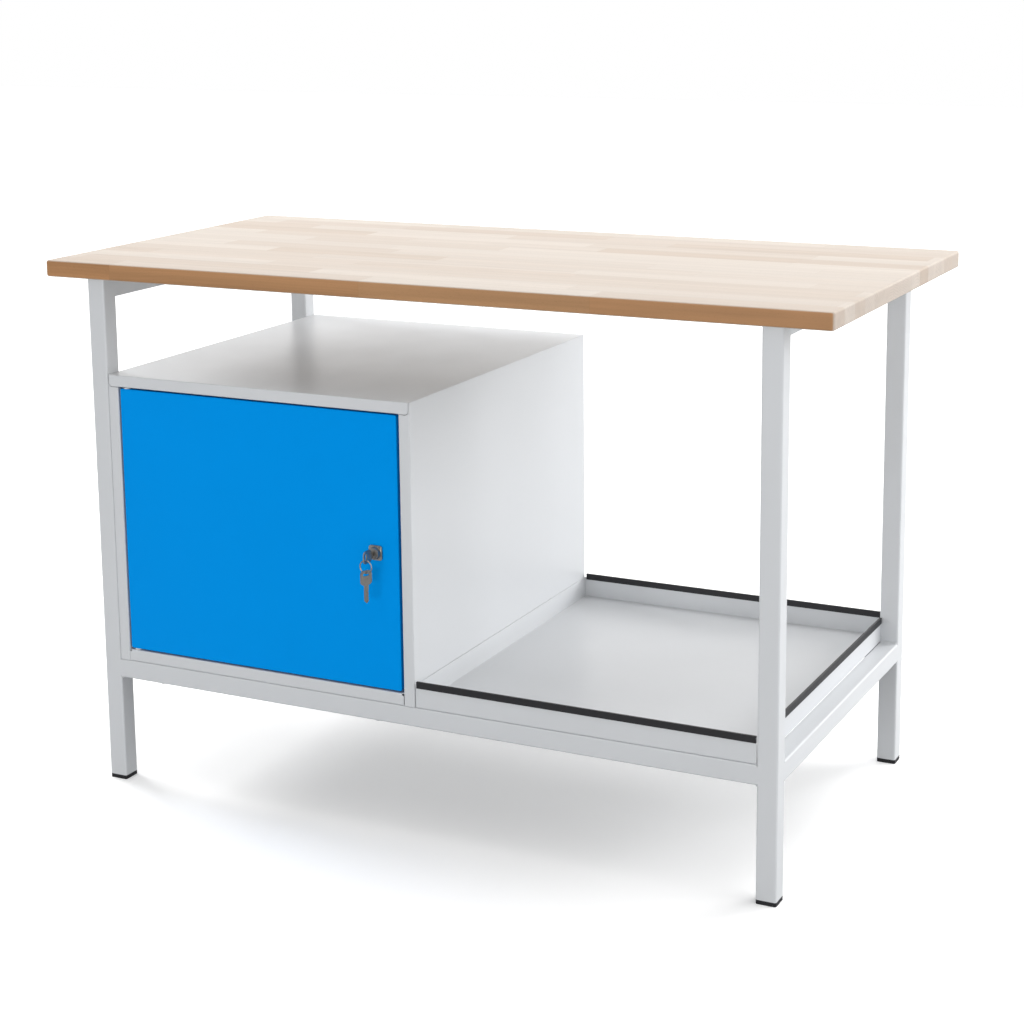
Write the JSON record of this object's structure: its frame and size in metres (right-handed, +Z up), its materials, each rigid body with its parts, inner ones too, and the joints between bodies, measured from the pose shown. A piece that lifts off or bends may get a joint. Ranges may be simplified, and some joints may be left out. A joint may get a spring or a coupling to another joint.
{
  "type": "workbench with cabinet",
  "caption": "Workshop bench with a thick beech top on a square-tube steel frame, a lockable cabinet with a hinged door at the left and an open rimmed tray at the right.",
  "frame": {"origin": "on the floor, under the middle of the worktop's plan", "axes": "+X to the right along the bench's length, as seen from the front; +Y to the rear; +Z up"},
  "size_m": [1.25, 0.6479, 0.825],
  "materials": {
    "beech": "laminated beech staves, oiled, satin",
    "grey_paint": "light grey powder coat, semi-gloss",
    "blue_paint": "bright blue powder coat, semi-gloss",
    "black_plastic": "black moulded plastic",
    "nylon": "natural white nylon",
    "rubber": "black rubber",
    "zinc": "zinc-plated steel",
    "nickel": "nickel plate"
  },
  "bodies": {
    "bench": {"worktop": "beech", "front_left_leg": "grey_paint", "front_right_leg": "grey_paint", "rear_left_leg": "grey_paint", "rear_right_leg": "grey_paint", "front_left_foot": "black_plastic", "front_right_foot": "black_plastic", "rear_left_foot": "black_plastic", "rear_right_foot": "black_plastic", "upper_left_rail": "grey_paint", "upper_right_rail": "grey_paint", "lower_front_rail": "grey_paint", "lower_rear_rail": "grey_paint", "lower_left_rail": "grey_paint", "lower_right_rail": "grey_paint", "top_screw_left_front": "zinc", "top_screw_left_middle": "zinc", "top_screw_left_rear": "zinc", "top_screw_right_front": "zinc", "top_screw_right_middle": "zinc", "top_screw_right_rear": "zinc", "cabinet_lid": "grey_paint", "cabinet_left_side": "grey_paint", "cabinet_right_side": "grey_paint", "cabinet_floor": "grey_paint", "cabinet_back": "grey_paint", "door_stop_strip": "grey_paint", "shelf": "grey_paint", "shelf_support_left": "grey_paint", "shelf_support_right": "grey_paint", "cabinet_bolt_front_left": "zinc", "cabinet_bolt_front_right": "zinc", "cabinet_bolt_rear_left": "zinc", "cabinet_bolt_rear_right": "zinc", "cabinet_nut_front_left": "zinc", "cabinet_nut_front_right": "zinc", "cabinet_nut_rear_left": "zinc", "cabinet_nut_rear_right": "zinc", "upper_hinge_pin": "zinc", "lower_hinge_pin": "zinc", "upper_door_buffer": "rubber", "lower_door_buffer": "rubber", "tray": "grey_paint", "tray_front_trim": "black_plastic", "tray_rear_trim": "black_plastic", "tray_right_trim": "black_plastic"},
    "door": {"door_panel": "blue_paint", "door_stiffener": "blue_paint", "upper_hinge_bush": "nylon", "lower_hinge_bush": "nylon", "lock_housing": "nickel", "lock_nut": "zinc"},
    "lock_cylinder": {"lock_plug": "nickel", "lock_cam": "zinc", "cam_screw": "zinc", "key": "nickel"},
    "ring": {"key_ring": "nickel"},
    "spare": {"spare_key": "nickel"}
  },
  "joints": [
    {"name": "door_hinge", "type": "hinge", "parent": "bench", "child": "door", "pos_m": [-0.4943, -0.2925, 0.4267], "axis": [0, 0, -1], "range_deg": [0, 110]},
    {"name": "lock_turn", "type": "hinge", "parent": "door", "child": "lock_cylinder", "pos_m": [-0.0598, -0.2985, 0.4267], "axis": [0, 1, 0], "range_deg": [0, 90]},
    {"name": "ring_swing", "type": "hinge", "parent": "lock_cylinder", "child": "ring", "pos_m": [-0.0598, -0.3289, 0.4223], "axis": [-1, 0, 0], "range_deg": [-8, 60]},
    {"name": "spare_key_swing", "type": "hinge", "parent": "ring", "child": "spare", "pos_m": [-0.0598, -0.3289, 0.4033], "axis": [-1, 0, 0], "range_deg": [-12, 45]}
  ]
}
